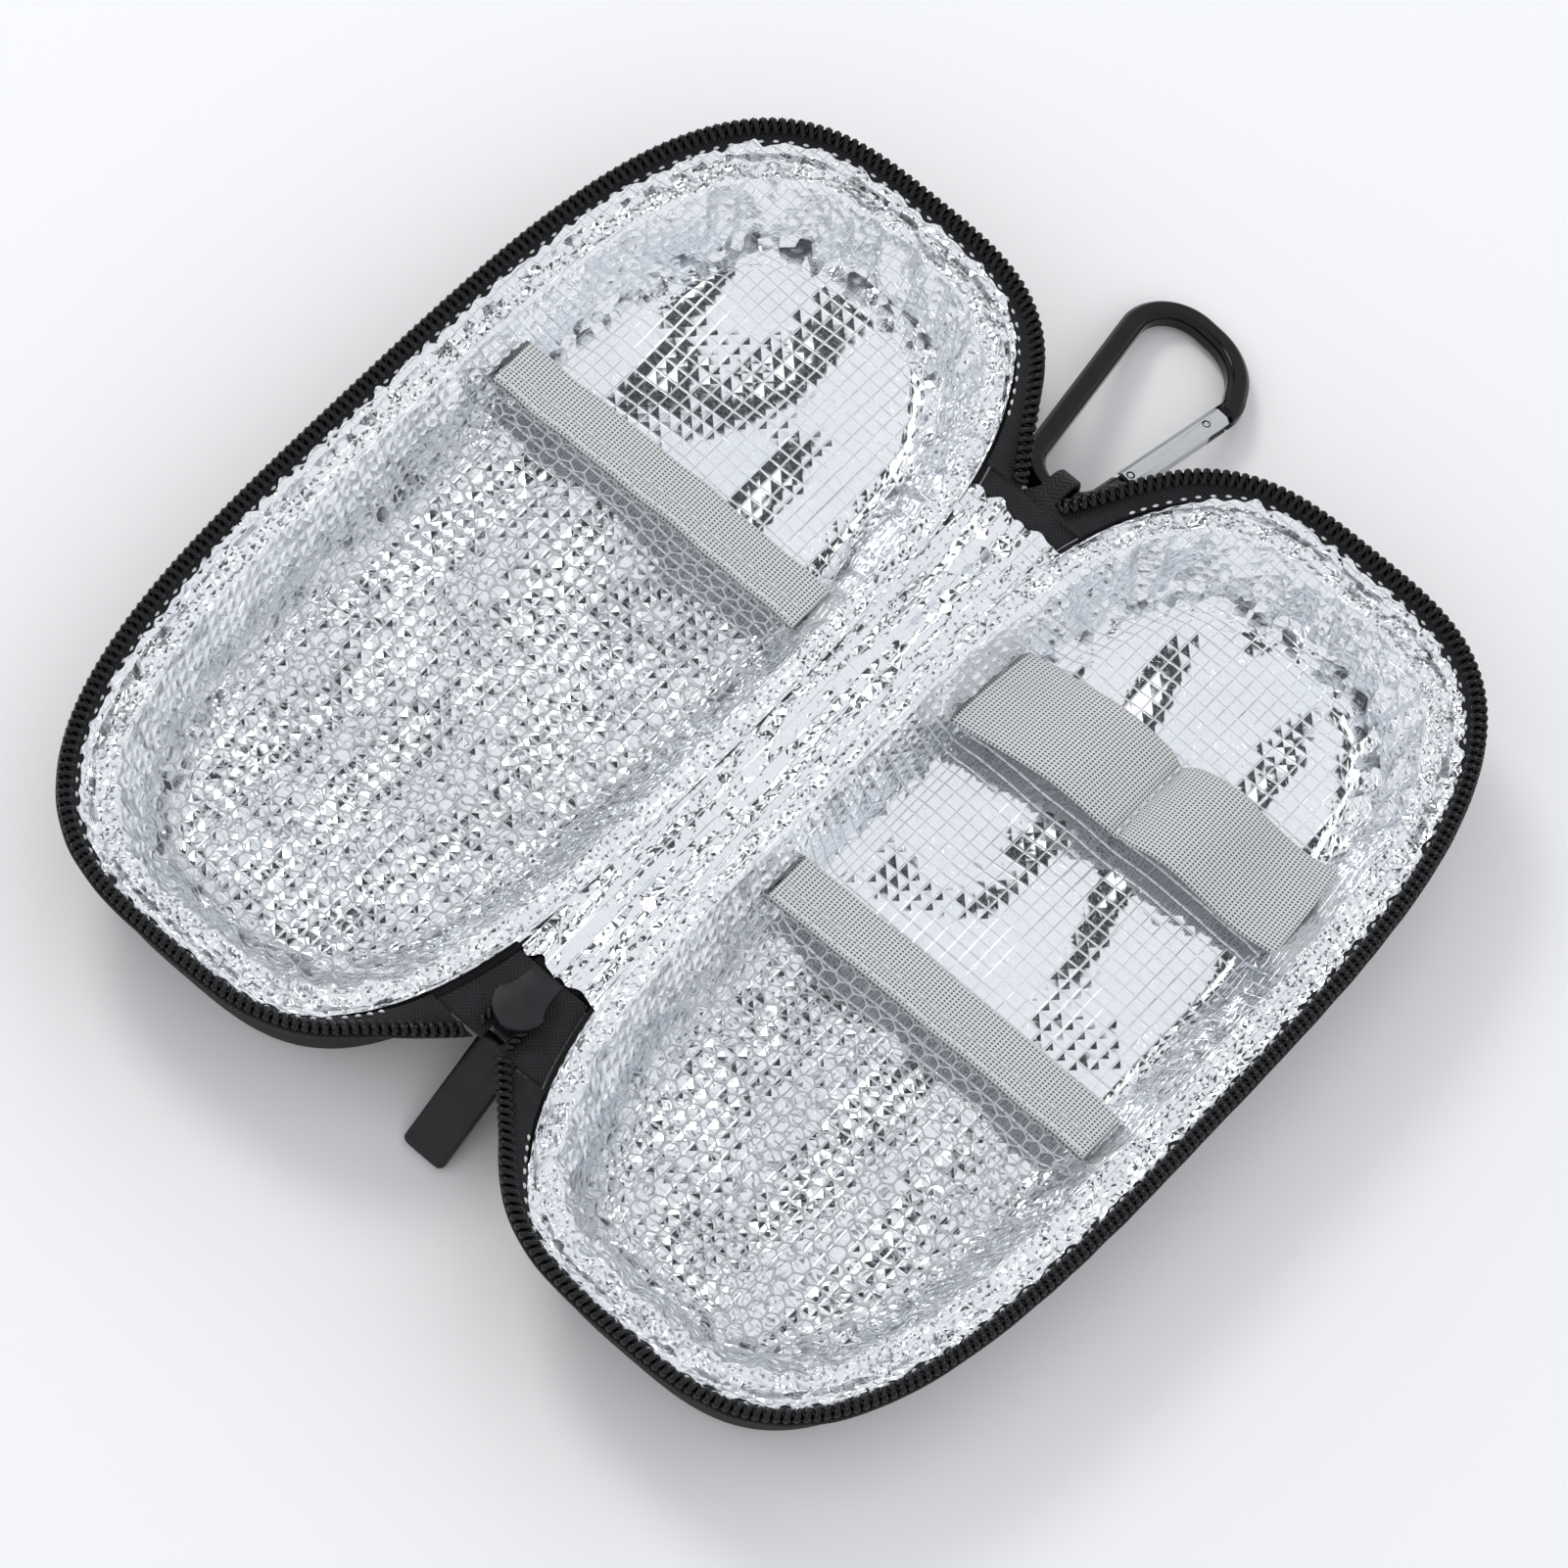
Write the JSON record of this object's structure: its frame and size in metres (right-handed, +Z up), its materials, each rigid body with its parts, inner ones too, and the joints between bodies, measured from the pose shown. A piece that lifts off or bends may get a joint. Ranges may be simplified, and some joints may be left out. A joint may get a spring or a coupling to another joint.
{
  "type": "insulin cooling case",
  "caption": "Insulated zip case lying open: oval foil-lined halves on a cloth spine, a net pocket in each half, an elastic holder, a zip slider with pull, and a snap hook.",
  "frame": {"origin": "centre of the base half's flat underside, on the table", "axes": "+Y along the spine towards the snap hook, +X from the spine across the base half away from the lid, +Z up; the case lies fully open"},
  "size_m": [0.2032, 0.2324, 0.0292],
  "materials": {
    "black_cloth": "matte",
    "grey_foam": "matte",
    "embossed_foil": "embossed mirror foil",
    "black_coil": "gloss",
    "grey_net": "open net",
    "grey_elastic": "knitted, matte",
    "white_thread": "matte",
    "black_enamel": "satin",
    "black_moulding": "satin",
    "black_anodised": "satin",
    "silver_aluminium": "brushed"
  },
  "bodies": {
    "base": {"base_shell": "black_cloth", "base_foam": "grey_foam", "base_foil_lining": "embossed_foil", "base_zip_tape": "black_cloth", "base_zip_coil": "black_coil", "base_net_pocket": "grey_net", "base_pocket_edging": "grey_elastic", "elastic_holder": "grey_elastic", "holder_seam_thread": "white_thread"},
    "spine": {"spine_cloth": "black_cloth", "spine_foil": "embossed_foil", "gusset_slider_end": "black_cloth", "gusset_hook_end": "black_cloth", "chain_end_base": "black_coil", "chain_end_lid": "black_coil", "webbing_loop": "black_cloth", "webbing_bar_tack": "black_cloth"},
    "lid": {"lid_shell": "black_cloth", "lid_foam": "grey_foam", "lid_foil_lining": "embossed_foil", "lid_zip_tape": "black_cloth", "lid_zip_coil": "black_coil", "lid_net_pocket": "grey_net", "lid_pocket_edging": "grey_elastic"},
    "slider": {"slider_body": "black_enamel", "slider_bail": "black_enamel"},
    "pull": {"pull_link": "black_enamel", "pull_tab": "black_moulding"},
    "hook": {"hook_frame": "black_anodised", "hook_hinge_pin": "silver_aluminium"},
    "gate": {"hook_gate": "silver_aluminium", "hook_nose_pin": "silver_aluminium", "hook_gate_spring": "silver_aluminium"}
  },
  "joints": [
    {"name": "spine_fold", "type": "hinge", "parent": "base", "child": "spine", "pos_m": [-0.046, 0, 0.024], "axis": [0, 1, 0], "range_deg": [0, 90]},
    {"name": "lid_fold", "type": "hinge", "parent": "spine", "child": "lid", "pos_m": [-0.0564, 0, 0.024], "axis": [0, 1, 0], "range_deg": [0, 90]},
    {"name": "slider_slide", "type": "slide", "parent": "spine", "child": "slider", "axis": [0, -1, 0], "range_m": [0, 0.003]},
    {"name": "pull_swing", "type": "hinge", "parent": "slider", "child": "pull", "pos_m": [-0.0512, -0.066, 0.0195], "axis": [1, 0, 0], "range_deg": [-35, 120]},
    {"name": "hook_swing", "type": "hinge", "parent": "spine", "child": "hook", "pos_m": [-0.0512, 0.0765, 0.0152], "axis": [1, 0, 0], "range_deg": [-60, 40]},
    {"name": "gate_swing", "type": "hinge", "parent": "hook", "child": "gate", "pos_m": [-0.04457, 0.0896, 0.01194], "axis": [0, 0.2416, 0.9704], "range_deg": [0, 25], "stiffness_Nm_per_rad": 0.01, "springref_deg": -5.73}
  ],
  "couplings": [
    {"joint": "lid_fold", "follows": "spine_fold", "ratio": 1}
  ]
}
